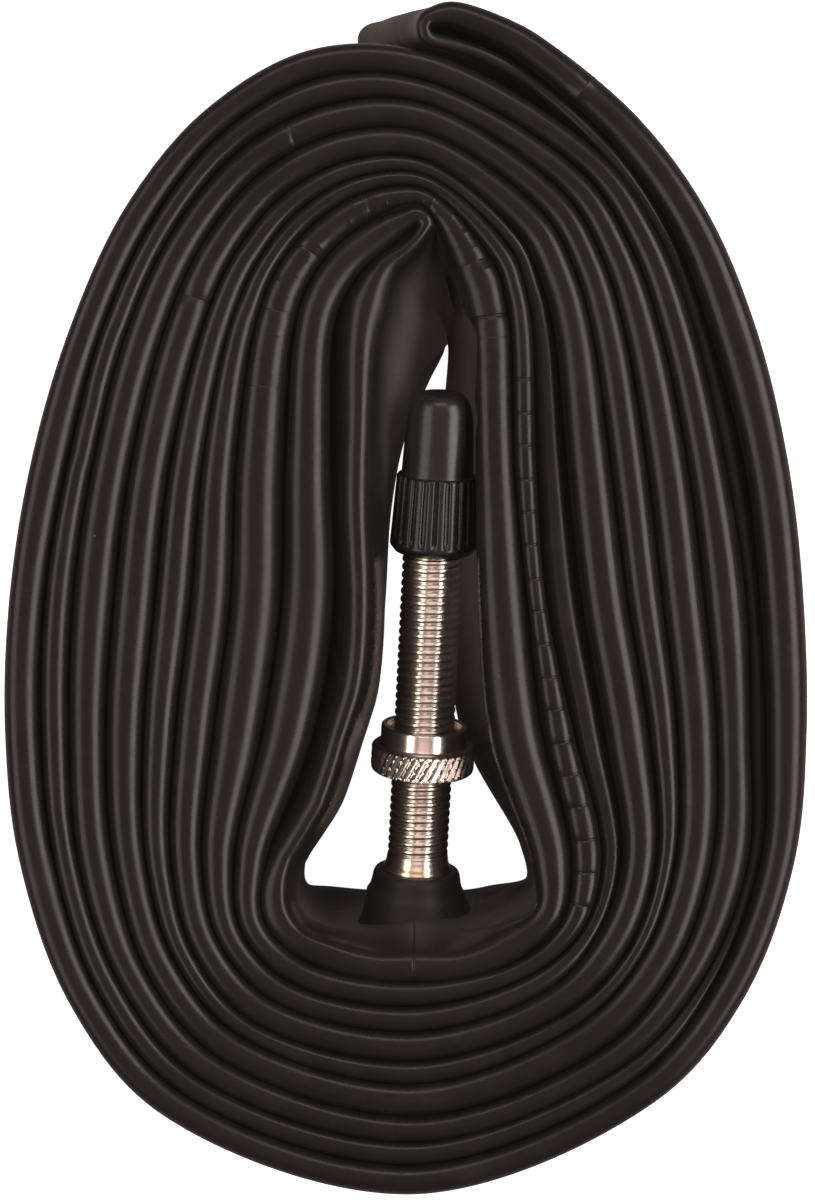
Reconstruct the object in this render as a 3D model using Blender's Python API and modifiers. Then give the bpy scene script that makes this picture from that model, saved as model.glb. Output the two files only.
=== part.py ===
"""Road bicycle inner tube with a Presta valve, rolled up for storage.

The tube lies flat (deflated) and is wound as a double strand: it starts in the
middle of its length at the valve, both strands run round the roll together,
and the loop closes in one fold inside the roll and one fold on its outside.
The roll lies on its side, so the tube's lay-flat width is the roll's height.

Frame: metres, +Z up, the roll's long side along Y, the valve points to +Y and
leans up a little.  The origin is under the middle of the roll's box.
Right is +X, the near end is at -Y and the far end at +Y.
Lengths in the constants and tables are in millimetres.
"""
import math

import bpy
import bmesh
from mathutils import Matrix, Vector

MM = 0.001

# ---------------------------------------------------------------- roll dimensions
LAY_FLAT = 30.0          # lay-flat width of the tube = height of the roll
LAYER_GAP = 0.40         # free gap between neighbouring layers of the roll
WEB = 1.9                # two tube walls pressed together
EDGE_FLAT = 0.42         # width of the flat on a bead's edge / bead thickness
BEAD_DEPTH = 0.8         # depth of a bead's widest point / half its thickness
SPLINE_STEPS = 24        # spline points per pair of control points
MAX_TURN = 13.0          # largest bend per section of the roll, degrees
MAX_STEP = 9.0           # longest section of the roll
MIN_TAIL = 4             # fewest spline points between the last section and the first
TUBE_SHARP = 50          # edges bent more than this are shaded sharp, degrees
SHIFT_X, SHIFT_Y = 0.09, -1.655  # put the box's middle on the Z axis

# The roll is oval: two round ends about these centres, straight sides between.
# The sides are dimensioned at the middle and MID to either side of it.
SIDE_X = 0.7
MID = 12.6
NEAR_END = (SIDE_X, -24.3)
FAR_END = (1.6, 25.2)
NEAR_SIDE = (SIDE_X, -MID)
MIDDLE = (SIDE_X, 0.0)
FAR_SIDE = (SIDE_X, MID)

# Stations once round the roll, counter-clockwise from the right of the valve:
# centre, angle of the spoke, distances from the centre out to the creases
# between the layers, counted from the inside out
RIGHT = (
    (NEAR_END, -45.0, (9.8, 13.6, 15.3, 17.4, 20.2, 21.7, 25.0, 27.4, 29.2, 32.1)),
    (NEAR_END, -22.5, (12.1, 15.0, 17.0, 18.6, 21.8, 23.1, 26.4, 29.2, 30.5, 33.6)),
    (NEAR_END, 0.0, (10.9, 14.8, 17.5, 19.5, 22.8, 24.3, 27.9, 31.3, 32.6, 35.7)),
    (NEAR_SIDE, 0.0, (7.1, 12.3, 14.9, 17.9, 22.1, 24.5, 28.4, 31.5, 33.1, 36.9)),
    (MIDDLE, 0.0, (5.8, 10.6, 12.3, 15.7, 20.0, 23.2, 27.2, 31.1, 32.5, 36.6)),
    (FAR_SIDE, 0.0, (5.4, 9.4, 11.4, 14.3, 18.4, 21.7, 25.6, 29.1, 31.0, 35.1)),
    (FAR_END, 0.0, (4.2, 8.2, 10.1, 12.2, 15.7, 18.7, 22.1, 25.3, 26.9, 31.2)),
    (FAR_END, 22.5, (4.3, 8.4, 10.2, 11.9, 15.2, 18.0, 20.9, 23.7, 25.1, 28.9)),
    (FAR_END, 45.0, (5.1, 9.3, 11.1, 12.6, 15.7, 18.4, 21.0, 23.4, 24.9, 28.4)),
    (FAR_END, 90.0, (11.7, 13.3, 14.6, 16.0, 18.6, 21.4, 23.5, 26.2)),
)
LEFT = (
    (FAR_END, 112.5, (8.5, 11.6, 14.2, 15.7, 17.4, 20.2, 23.1, 25.7, 28.6)),
    (FAR_END, 135.0, (8.1, 11.5, 14.5, 16.3, 18.3, 21.3, 24.3, 26.5, 29.3)),
    (FAR_END, 157.5, (8.2, 11.7, 15.1, 16.9, 19.1, 22.3, 25.4, 27.4, 30.4)),
    (FAR_END, 180.0, (8.6, 12.2, 16.0, 18.3, 20.8, 24.4, 28.0, 30.2, 33.3)),
    (FAR_SIDE, 180.0, (7.9, 12.2, 16.8, 19.9, 22.9, 26.6, 30.3, 32.5, 36.1)),
    (MIDDLE, 180.0, (7.6, 12.5, 17.3, 21.0, 24.3, 28.2, 32.1, 34.6, 38.1)),
    (NEAR_SIDE, 180.0, (9.6, 14.3, 19.0, 22.5, 25.4, 29.0, 32.5, 35.0, 38.5)),
    (NEAR_END, 180.0, (13.9, 16.9, 20.0, 22.9, 25.2, 28.3, 31.7, 33.8, 37.2)),
    (NEAR_END, 202.5, (15.3, 17.6, 19.9, 22.6, 24.4, 27.3, 30.1, 32.2, 35.2)),
    (NEAR_END, 225.0, (13.9, 16.4, 18.7, 21.6, 23.3, 26.2, 28.9, 30.9, 33.8)),
    (NEAR_END, 270.0, (11.5, 13.8, 16.1, 18.9, 21.0, 24.1, 26.5, 28.6, 31.5)),
)

# Layers on the right whose top edge is lower: index from the inside, drop
RIGHT_SINK = {2: 2.0, 7: 2.6}

# Changes to the innermost layer, by station index: lean of the bottom edge in
# x and y, bow of the web away from the cap, trim of the side next to the cap
UNCHANGED = (0.0, 0.0, 0.0, 0.0)
INNERMOST_RIGHT = {
    0: (-0.3, 1.8, 0.0, 0.0),
    1: (0.0, 0.4, 0.0, 0.0),
    3: (-1.8, 0.0, 0.3, 0.3),
    4: (-2.4, 0.0, 1.0, 1.0),
    5: (-2.2, 0.0, 1.9, 1.5),
    6: (-0.8, 0.0, 0.8, 1.9),
    7: (-0.2, 0.0, 0.0, 2.0),
    8: (0.0, 0.0, 0.0, 1.8),
}
INNERMOST_LEFT = {
    0: (0.3, -1.5, 0.0, 0.0),
    1: (0.0, -0.4, 0.0, 0.0),
}

# Control points away from the regular layers:
# x, y of the top edge, lean of the bottom edge in x and y, thickness,
# and in the outer fold the sink of the top edge
VALVE_SPOT = (0.9, -34.0, 0.0, 3.1, 3.0)
RIGHT_CORNER = (4.8, -33.9, 0.0, 3.0, 2.6)
LEFT_RUN = (
    (-3.3, -33.9, 0.0, 3.0, 2.7),
    (-7.5, -32.7, -0.4, 2.0, 3.0),
    (-10.2, -31.4, -0.4, 1.1, 2.7),
    (-11.7, -29.4, -0.1, 0.4, 2.7),
    (-12.0, -27.0, 0.0, 0.0, 2.8),
    (-11.4, -24.3, 0.0, 0.0, 3.0),
    (-8.2, -18.4, 0.0, 0.0, 3.4),
    (-6.4, -12.6, 0.0, 0.0, 3.5),
    (-5.0, -7.9, 0.0, 0.0, 3.7),
    (-4.35, 0.0, 0.0, 0.0, 3.9),
    (-4.5, 9.3, 0.8, 0.0, 3.9),
    (-4.3, 16.8, 2.2, -0.2, 3.6),
)
INNER_FOLD = (
    (-4.1, 24.5, 5.2, -1.5, 2.8),
    (-3.5, 27.9, 6.0, -2.6, 2.4),
    (-2.2, 31.0, 5.2, -4.0, 2.0),
    (0.5, 33.4, 3.1, -5.0, 1.6),
    (1.46, 34.44, 2.1, -5.3, 1.3),
    (1.75, 35.15, 1.9, -5.2, 1.2),
    (1.46, 35.86, 1.7, -5.0, 1.2),
    (0.75, 36.15, 1.4, -4.6, 1.3),
    (-0.7, 35.45, 0.8, -3.1, 1.7),
)
OUTER_FOLD = (
    (12.3, 51.2, -0.3, 1.0, 2.6, 0.0),
    (9.4, 53.0, -1.3, 1.8, 2.4, 0.0),
    (4.2, 54.9, -3.5, 3.0, 1.9, 0.0),
    (2.5, 54.65, -5.6, 3.6, 1.3, 0.0),
    (1.86, 54.27, -6.0, 3.7, 1.1, 0.0),
    (1.6, 53.55, -6.15, 3.75, 1.0, 0.0),
    (1.86, 52.83, -6.1, 3.75, 1.0, 0.1),
    (2.5, 52.45, -5.8, 3.7, 1.0, 0.3),
    (4.1, 52.15, -5.0, 3.4, 1.0, 0.7),
    (7.3, 51.2, -3.0, 2.2, 1.0, 1.4),
    (11.6, 48.9, -0.8, 0.8, 1.1, 2.2),
)
POINT_SIZE = 7           # values in a full control point: the six above and the bow

# ---------------------------------------------------------------- valve dimensions
# The valve's axis starts at the stem's visible base and runs to the cap's top.
VALVE_BASE = (VALVE_SPOT[0], -26.4, 15.5)
VALVE_SIDE_LEAN = 2.9    # degrees, to +X
VALVE_RISE = 13.5        # degrees, up
VALVE_SHARP = 35         # edges bent more than this are shaded sharp, degrees

STEM_R = 2.93            # crest of an M6 x 0.8 thread, modelled smooth
STEM_TOP = 34.8
STEM_BORE = 1.7
FOOT_R, FOOT_LOW, FOOT_HIGH = 4.4, -4.1, -3.3
NECK_R = 3.0
COLLAR_R = 3.9

PATCH_R = 6.2
PATCH_GAP = 0.45         # between the tube's web and the patch
PATCH_TUCK = -0.6        # height of the end of the patch's bore
FOOT_GAP = 0.12          # round the stem's foot
NECK_GAP = 0.1           # round the stem's neck and above its foot
PATCH_SEGMENTS = 32

NUT_LOW, NUT_STEP, NUT_TOP = 10.2, 12.9, 14.8
NUT_FLANGE_R, NUT_COLLAR_R, NUT_BORE = 5.0, 4.15, 3.02
NUT_RECESS_R = 3.65
NUT_TEETH, NUT_TOOTH_DEPTH = 30, 0.22

CORE_LOW, CORE_HEAD, CORE_TOP = 25.5, 35.0, 41.3
CORE_HEAD_R, CORE_WAIST_R, CORE_BORE = 2.58, 2.20, 0.85
FLAT_DISTANCE = 2.2      # from the axis to each flat on the core's head
FLAT_CUT = (2.0, 8.0, 4.0)
FLAT_MIDDLE = 37.6       # height of the middle of the flats

PIN_R, PIN_HEAD_R, PIN_TOP = 0.75, 0.92, 45.9
CORE_NUT_LOW, CORE_NUT_TOP, CORE_NUT_R, CORE_NUT_BORE = 41.35, 43.55, 2.0, 0.83
CORE_NUT_TEETH, CORE_NUT_TOOTH_DEPTH = 20, 0.14

CAP_LOW, CAP_STEP, CAP_TOP = 32.0, 39.6, 47.2
CAP_FLUTES, CAP_FLUTE_DEPTH = 22, 0.3


# ---------------------------------------------------------------- scene set-up
for old in list(bpy.data.objects):
    bpy.data.objects.remove(old, do_unlink=True)


def new_collection(name):
    collection = bpy.data.collections.new(name)
    bpy.context.scene.collection.children.link(collection)
    return collection


MODEL = new_collection("inner_tube")
CUTTERS = new_collection("cutters")


def material(name, colour, roughness, metallic=0.0):
    mat = bpy.data.materials.new(name)
    mat.use_nodes = True
    bsdf = mat.node_tree.nodes["Principled BSDF"]
    bsdf.inputs["Base Color"].default_value = (*colour, 1.0)
    bsdf.inputs["Roughness"].default_value = roughness
    bsdf.inputs["Metallic"].default_value = metallic
    return mat


BUTYL = material("butyl", colour=(0.028, 0.024, 0.024), roughness=0.42)
BUTYL_PATCH = material("butyl_patch", colour=(0.024, 0.021, 0.021), roughness=0.45)
NICKEL = material("nickel", colour=(0.72, 0.66, 0.62), roughness=0.25, metallic=1.0)
NICKEL_NUT = material("nickel_nut", colour=(0.74, 0.68, 0.64), roughness=0.22, metallic=1.0)
BRASS = material("brass", colour=(0.70, 0.52, 0.27), roughness=0.30, metallic=1.0)
BRASS_PIN = material("brass_pin", colour=(0.72, 0.55, 0.30), roughness=0.28, metallic=1.0)
BRASS_NUT = material("brass_nut", colour=(0.74, 0.58, 0.33), roughness=0.26, metallic=1.0)
GASKET = material("gasket", colour=(0.03, 0.03, 0.03), roughness=0.55)
SEAL = material("seal", colour=(0.05, 0.02, 0.02), roughness=0.55)
CAP_PLASTIC = material("cap_plastic", colour=(0.02, 0.019, 0.020), roughness=0.22)


# ---------------------------------------------------------------- shared builders
def place(name, mesh, mat, parent=None):
    """Add an object to the model; a parented one shares its parent's frame."""
    obj = bpy.data.objects.new(name, mesh)
    MODEL.objects.link(obj)
    mesh.materials.append(mat)
    if parent is not None:
        obj.parent = parent
        obj.matrix_world = parent.matrix_world
    return obj


def loft(name, rings, sharp_angle, closed=True):
    """Mesh through rings of points in millimetres.  The last ring joins the
    first if closed, otherwise both end rings are capped."""
    bm = bmesh.new()
    verts = [[bm.verts.new(Vector(point) * MM) for point in ring] for ring in rings]
    count, size = len(verts), len(verts[0])
    for i in range(count if closed else count - 1):
        ring, following = verts[i], verts[(i + 1) % count]
        for k in range(size):
            after = (k + 1) % size
            bm.faces.new((ring[k], ring[after], following[after], following[k]))
    if not closed:
        bm.faces.new(verts[0])
        bm.faces.new(list(reversed(verts[-1])))
    bmesh.ops.recalc_face_normals(bm, faces=bm.faces)
    mesh = bpy.data.meshes.new(name)
    bm.to_mesh(mesh)
    bm.free()
    mesh.shade_smooth()
    mesh.set_sharp_from_angle(angle=math.radians(sharp_angle))
    return mesh


def shifted(x, y, z):
    """Point of the tables moved into the model's frame, still in millimetres."""
    return (x + SHIFT_X, y + SHIFT_Y, z)


# ---------------------------------------------------------------- the roll's path
def layer(stations, index, changes, sink=0.0):
    """Control points of one layer, counted from the inside, along one side."""
    points = []
    for k, (centre, angle, creases) in enumerate(stations):
        if index + 1 >= len(creases):
            break        # the outermost layers on the right leave for the outer fold
        lean_x, lean_y, bow, trim = changes.get(k, UNCHANGED)
        inner, outer = creases[index] + trim, creases[index + 1]
        distance = 0.5 * (inner + outer)
        x = centre[0] + distance * math.cos(math.radians(angle))
        y = centre[1] + distance * math.sin(math.radians(angle))
        drop = sink * math.sin(math.pi * (k + 0.5) / len(RIGHT))
        points.append((x, y, lean_x, lean_y, outer - inner - LAYER_GAP, drop, bow))
    return points


def right_layer(index):
    changes = INNERMOST_RIGHT if index == 0 else {}
    return layer(RIGHT, index, changes, RIGHT_SINK.get(index, 0.0))


def left_layer(index):
    return layer(LEFT, index, INNERMOST_LEFT if index == 0 else {})


def strand(sides, layers):
    """One strand from the inside of the roll out: it moves out by one layer
    each time it changes sides."""
    points = []
    for index in range(layers):
        points += sides[index % 2](index)
    return points


def control_points():
    """The whole closed loop, out along one strand and back along the other."""
    outward = [VALVE_SPOT, RIGHT_CORNER, *strand((right_layer, left_layer), 9), *OUTER_FOLD]
    other = [*LEFT_RUN, *INNER_FOLD, *strand((left_layer, right_layer), 8)]
    return [point + (0.0,) * (POINT_SIZE - len(point)) for point in outward + other[::-1]]


def blend(start, start_knot, end, end_knot, knot):
    return ((end_knot - knot) * start + (knot - start_knot) * end) / (end_knot - start_knot)


def spline_value(values, knots, knot):
    """Catmull-Rom value between the middle two of four values."""
    k0, k1, k2, k3 = knots
    first = blend(values[0], k0, values[1], k1, knot)
    second = blend(values[1], k1, values[2], k2, knot)
    third = blend(values[2], k2, values[3], k3, knot)
    before = blend(first, k0, second, k2, knot)
    after = blend(second, k1, third, k3, knot)
    return blend(before, k1, after, k2, knot)


def smooth_loop(points):
    """Centripetal Catmull-Rom spline through a closed list of points."""
    smooth = []
    count = len(points)
    for i in range(count):
        four = [points[(i + k - 1) % count] for k in range(4)]
        knots = [0.0]
        for start, end in zip(four, four[1:]):
            knots.append(knots[-1] + max(math.dist(start[:2], end[:2]), 1e-6) ** 0.5)
        for step in range(SPLINE_STEPS):
            knot = knots[1] + (knots[2] - knots[1]) * step / SPLINE_STEPS
            smooth.append(tuple(spline_value(values, knots, knot) for values in zip(*four)))
    return smooth


def loop_normals(points):
    normals = []
    for i in range(len(points)):
        before, after = points[i - 1], points[(i + 1) % len(points)]
        along = Vector((after[0] - before[0], after[1] - before[1]))
        along.normalize()
        normals.append(Vector((-along.y, along.x)))
    return normals


def sections():
    """Stations along the loop: top point, bottom point, their normals,
    thickness, sink and bow, closer together where the band bends."""
    dense = smooth_loop(control_points())
    top = [(p[0], p[1]) for p in dense]
    low = [(p[0] + p[2], p[1] + p[3]) for p in dense]
    top_normals, low_normals = loop_normals(top), loop_normals(low)
    keep = [0]
    for i in range(1, len(dense)):
        j = keep[-1]
        turn = max(top_normals[i].angle(top_normals[j]), low_normals[i].angle(low_normals[j]))
        step = max(math.dist(top[i], top[j]), math.dist(low[i], low[j]))
        if math.degrees(turn) > MAX_TURN or step > MAX_STEP:
            keep.append(max(j + 1, i - 1))
    if len(dense) - keep[-1] < MIN_TAIL:
        keep.pop()
    return [(top[i], low[i], top_normals[i], low_normals[i],
             dense[i][4], max(0.0, dense[i][5]), dense[i][6]) for i in keep]


# ---------------------------------------------------------------- tube
def half_outline(thick):
    """Half outline of the flattened tube, from the top edge down to the
    bottom edge: (side offset, distance from an edge, is it the top edge)."""
    bead = 0.5 * thick
    web = min(0.5 * WEB, bead)
    return (
        (EDGE_FLAT * bead, 0.0, True),
        (bead, BEAD_DEPTH * bead, True),
        (web, 0.5 * LAY_FLAT, False),
        (bead, BEAD_DEPTH * bead, False),
        (EDGE_FLAT * bead, 0.0, False),
    )


def tube_ring(top, low, top_normal, low_normal, thick, sink, bow):
    height = LAY_FLAT - sink
    ring = []
    half = half_outline(thick)
    for side, outline in ((1.0, half), (-1.0, half[::-1])):
        for offset, edge, from_top in outline:
            z = height - edge if from_top else edge
            rise = z / height
            normal = (low_normal * (1.0 - rise) + top_normal * rise).normalized()
            across = side * offset - bow * 4.0 * rise * (1.0 - rise)
            x = low[0] * (1.0 - rise) + top[0] * rise + across * normal.x
            y = low[1] * (1.0 - rise) + top[1] * rise + across * normal.y
            ring.append(shifted(x, y, z))
    return ring


place("tube_body", loft("tube_body", [tube_ring(*s) for s in sections()], TUBE_SHARP), BUTYL)


# ---------------------------------------------------------------- the valve's frame
def valve_matrix():
    """Local +Z runs along the valve, local +X points to the roll's right."""
    rise, side = math.radians(VALVE_RISE), math.radians(VALVE_SIDE_LEAN)
    z = Vector((math.cos(rise) * math.sin(side), math.cos(rise) * math.cos(side),
                math.sin(rise)))
    x = z.cross(Vector((0.0, 0.0, 1.0)))
    x.normalize()
    y = z.cross(x)
    turn = Matrix((x, y, z)).transposed().to_4x4()
    return Matrix.Translation(Vector(shifted(*VALVE_BASE)) * MM) @ turn


VALVE = bpy.data.objects.new("valve_axis", None)
MODEL.objects.link(VALVE)
VALVE.empty_display_size = 0.01
VALVE.matrix_world = valve_matrix()
bpy.context.view_layer.update()


def turned(name, profile, mat, steps):
    """A ring turned about the valve's axis from a closed outline of
    (radius, height) points, outer side first, top to bottom."""
    mesh = bpy.data.meshes.new(name)
    count = len(profile)
    mesh.from_pydata([(radius * MM, 0.0, height * MM) for radius, height in profile],
                     [(i, (i + 1) % count) for i in range(count)], [])
    obj = place(name, mesh, mat, VALVE)
    screw = obj.modifiers.new("turn", "SCREW")
    screw.axis = "Z"
    screw.angle = 2.0 * math.pi
    screw.steps = steps
    screw.render_steps = steps
    screw.use_merge_vertices = True
    screw.merge_threshold = 0.00001
    screw.use_smooth_shade = True
    return obj


def ring_stack(name, rings, mat, closed=True):
    """A body lofted through rings given in the valve's frame."""
    place(name, loft(name, rings, VALVE_SHARP, closed), mat, VALVE)


def circle(count, radius, height, groove=0.0):
    """Points round the valve's axis; every second one is set in by the groove."""
    points = []
    for k in range(count):
        angle = 2.0 * math.pi * k / count
        reach = radius - groove * (k % 2)
        points.append((reach * math.cos(angle), reach * math.sin(angle), height))
    return points


def circles(count, profile):
    """One circle for each (radius, height[, groove depth]) row."""
    return [circle(count, *row) for row in profile]


# ---------------------------------------------------------------- patch
# Outside of the rubber boss from its neck down: radius, height,
# squareness (1 square to the stem, 0 parallel to the tube's face)
PATCH_OUTSIDE = (
    (3.3, -0.25, 1.0), (4.1, -0.35, 1.0), (4.4, -0.9, 1.0), (5.0, -2.0, 0.85),
    (5.4, -3.0, 0.6), (5.9, -3.8, 0.2), (PATCH_R, -4.3, 0.0),
)


def patch_plane():
    """Normal and offset, in the valve's frame, of the plane the patch lies on:
    the tube's +Y face under the valve, moved out by the gap."""
    lean_y = VALVE_SPOT[3]
    lean = math.atan2(lean_y, LAY_FLAT)
    normal = Vector((0.0, math.cos(lean), math.sin(lean)))
    x, _, z = VALVE_BASE
    y = VALVE_SPOT[1] + lean_y * (LAY_FLAT - z) / LAY_FLAT
    point = Vector(shifted(x, y, z)) + normal * (0.5 * WEB + PATCH_GAP)
    to_valve = VALVE.matrix_world.inverted()
    normal = (to_valve.to_3x3() @ normal).normalized()
    return normal, (to_valve @ (point * MM) / MM).dot(normal)


def tilted_circle(radius, height, normal):
    side = Vector((1.0, 0.0, 0.0))
    side = (side - normal * side.dot(normal)).normalized()
    up = normal.cross(side)
    centre = Vector((0.0, 0.0, height))
    return [centre + side * x + up * y for x, y, _ in circle(PATCH_SEGMENTS, radius, 0.0)]


def patch_rings():
    """The rubber boss: its pad follows the tube, its neck follows the stem."""
    normal, offset = patch_plane()
    axis = Vector((0.0, 0.0, 1.0))
    rings = []
    for radius, height, square in PATCH_OUTSIDE:
        tilt = (normal * (1.0 - square) + axis * square).normalized()
        rings.append(tilted_circle(radius, height, tilt))
    for radius in (PATCH_R, FOOT_R + FOOT_GAP):
        rings.append([(x, y, (offset - normal.x * x - normal.y * y) / normal.z)
                      for x, y, _ in circle(PATCH_SEGMENTS, radius, 0.0)])
    return rings + circles(PATCH_SEGMENTS, (
        (FOOT_R + FOOT_GAP, FOOT_HIGH + NECK_GAP),
        (NECK_R + NECK_GAP, FOOT_HIGH + NECK_GAP),
        (NECK_R + NECK_GAP, PATCH_TUCK),
    ))


ring_stack("valve_patch", patch_rings(), BUTYL_PATCH)

# ---------------------------------------------------------------- stem
turned("valve_stem", (
    (STEM_R - 0.35, STEM_TOP), (STEM_R, STEM_TOP - 0.4), (STEM_R, 1.6),
    (3.15, 1.3), (COLLAR_R - 0.1, 0.55), (COLLAR_R, 0.3), (COLLAR_R, -0.1),
    (NECK_R, -0.15), (NECK_R, FOOT_HIGH), (FOOT_R, FOOT_HIGH), (FOOT_R, FOOT_LOW),
    (STEM_BORE, FOOT_LOW), (STEM_BORE, 25.2), (2.0, 25.9), (2.0, 28.9),
    (2.52, 29.3), (2.52, STEM_TOP),
), NICKEL, steps=32)

# ---------------------------------------------------------------- rim nut
ring_stack("rim_nut", circles(2 * NUT_TEETH, (
    (NUT_COLLAR_R - 0.2, NUT_TOP), (NUT_COLLAR_R, NUT_TOP - 0.2), (NUT_COLLAR_R, NUT_STEP),
    (NUT_FLANGE_R - 0.3, NUT_STEP - 0.05),
    (NUT_FLANGE_R, NUT_STEP - 0.35, NUT_TOOTH_DEPTH),
    (NUT_FLANGE_R, NUT_LOW + 0.35, NUT_TOOTH_DEPTH),
    (NUT_FLANGE_R - 0.3, NUT_LOW),
    (NUT_BORE, NUT_LOW), (NUT_BORE, NUT_TOP - 1.3),
    (NUT_RECESS_R, NUT_TOP - 1.2), (NUT_RECESS_R, NUT_TOP),
)), NICKEL_NUT)

# ---------------------------------------------------------------- valve core
CORE = turned("core_body", (
    (2.30, CORE_TOP), (CORE_HEAD_R, CORE_TOP - 0.3), (CORE_HEAD_R, CORE_HEAD),
    (CORE_WAIST_R, CORE_HEAD - 0.15), (CORE_WAIST_R, 34.4), (2.45, 34.2), (2.45, 29.6),
    (1.80, 29.0), (1.80, 28.0), (1.45, 27.95), (1.45, 26.15), (1.70, 26.1),
    (1.60, CORE_LOW), (CORE_BORE, CORE_LOW), (CORE_BORE, CORE_TOP),
), BRASS, steps=28)


def cut_flat(name, sign):
    """Cut one flat on the core's head, on the side of local X given by sign."""
    bpy.ops.mesh.primitive_cube_add(size=1.0)
    cutter = bpy.context.object
    cutter.name = name
    cutter.data.transform(Matrix.Diagonal((*(size * MM for size in FLAT_CUT), 1.0)))
    x = sign * (FLAT_DISTANCE + 0.5 * FLAT_CUT[0])
    cutter.matrix_world = VALVE.matrix_world @ Matrix.Translation(
        (x * MM, 0.0, FLAT_MIDDLE * MM))
    for collection in list(cutter.users_collection):
        collection.objects.unlink(cutter)
    CUTTERS.objects.link(cutter)
    cutter.hide_render = True
    cutter.display_type = "WIRE"
    cut = CORE.modifiers.new("flat", "BOOLEAN")
    cut.operation = "DIFFERENCE"
    cut.solver = "EXACT"
    cut.object = cutter


cut_flat("flat_cut_a", -1.0)
cut_flat("flat_cut_b", 1.0)

turned("core_gasket", (
    (1.72, 27.8), (1.93, 27.5), (1.93, 26.6), (1.72, 26.3), (1.53, 26.3), (1.53, 27.8),
), GASKET, steps=28)

ring_stack("core_pin", circles(16, (
    (0.60, PIN_TOP), (PIN_HEAD_R, PIN_TOP - 0.12), (PIN_HEAD_R, PIN_TOP - 0.28),
    (PIN_R, PIN_TOP - 0.32), (PIN_R, 25.75), (0.50, 25.65), (0.50, 23.95),
    (0.95, 23.85), (0.95, 23.45), (0.70, 23.2),
)), BRASS_PIN, closed=False)

turned("core_seal", (
    (1.05, 25.4), (1.25, 25.15), (1.25, 24.3), (1.05, 24.05), (0.58, 24.05), (0.58, 25.4),
), SEAL, steps=24)

ring_stack("core_nut", circles(2 * CORE_NUT_TEETH, (
    (1.55, CORE_NUT_TOP), (1.9, CORE_NUT_TOP - 0.25),
    (CORE_NUT_R, CORE_NUT_TOP - 0.4, CORE_NUT_TOOTH_DEPTH),
    (CORE_NUT_R, CORE_NUT_LOW + 0.4, CORE_NUT_TOOTH_DEPTH),
    (1.75, CORE_NUT_LOW), (CORE_NUT_BORE, CORE_NUT_LOW), (CORE_NUT_BORE, CORE_NUT_TOP),
)), BRASS_NUT)

# ---------------------------------------------------------------- dust cap
# Down the outside, then up the inside to the blind end of the bore
ring_stack("dust_cap", circles(2 * CAP_FLUTES, (
    (1.4, CAP_TOP), (2.3, CAP_TOP - 0.35), (2.85, CAP_TOP - 1.1), (3.1, CAP_TOP - 2.2),
    (3.42, CAP_STEP + 0.1), (3.75, CAP_STEP),
    (3.85, CAP_STEP - 0.3, CAP_FLUTE_DEPTH), (4.17, CAP_LOW + 1.1, CAP_FLUTE_DEPTH),
    (4.20, CAP_LOW + 0.9), (4.15, CAP_LOW + 0.4), (3.65, CAP_LOW), (3.25, CAP_LOW),
    (3.15, 35.4), (2.75, 35.8), (2.75, 42.0), (2.35, 42.4), (2.25, 45.8), (1.2, 46.3),
)), CAP_PLASTIC, closed=False)
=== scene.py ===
"""Looks of a rolled-up road inner tube with a threaded valve, in a pale studio.

The roll stands on the floor with its axis along Z.  The valve lies in its middle,
from its foot at -Y towards +Y, rising a little.  Left is -X and right is +X.  The
part's own frame is in metres with +Z up; lengths here are in millimetres, except
in the studio section and in the textures, which are in metres.
"""

import math

import bpy
import bmesh
import numpy as np
from mathutils import Matrix, Vector, noise
from mathutils.bvhtree import BVHTree

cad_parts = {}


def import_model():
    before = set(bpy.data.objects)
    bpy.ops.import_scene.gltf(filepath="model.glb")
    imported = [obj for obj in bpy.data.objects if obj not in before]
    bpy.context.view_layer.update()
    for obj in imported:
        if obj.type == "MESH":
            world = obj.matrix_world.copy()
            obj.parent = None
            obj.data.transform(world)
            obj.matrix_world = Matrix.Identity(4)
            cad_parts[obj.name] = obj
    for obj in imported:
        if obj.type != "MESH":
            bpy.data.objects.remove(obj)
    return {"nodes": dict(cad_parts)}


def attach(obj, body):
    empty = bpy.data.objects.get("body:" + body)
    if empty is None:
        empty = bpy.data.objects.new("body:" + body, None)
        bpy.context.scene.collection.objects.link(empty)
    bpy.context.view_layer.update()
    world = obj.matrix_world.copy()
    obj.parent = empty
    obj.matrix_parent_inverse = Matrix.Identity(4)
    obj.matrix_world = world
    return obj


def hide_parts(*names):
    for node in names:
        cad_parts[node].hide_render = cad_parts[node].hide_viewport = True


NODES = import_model()["nodes"]
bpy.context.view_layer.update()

MM = 0.001

# ---------------------------------------------------------------- the roll's design
LAY_FLAT = 30.0                 # height of the flattened tube on its edge
LAYER_GAP = 0.40
ORIGIN_SHIFT = (0.09, -1.655)   # from the design's origin to the part's
ROLL_MIDDLE = (1.0, 2.0)
VALVE_X = 0.9

# Centres of the spokes along which the layers are measured, from -Y to +Y.
LOW = (0.7, -24.3)
BELOW = (0.7, -12.6)
CENTRE = (0.7, 0.0)
ABOVE = (0.7, 12.6)
HIGH = (1.6, 25.2)

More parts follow.
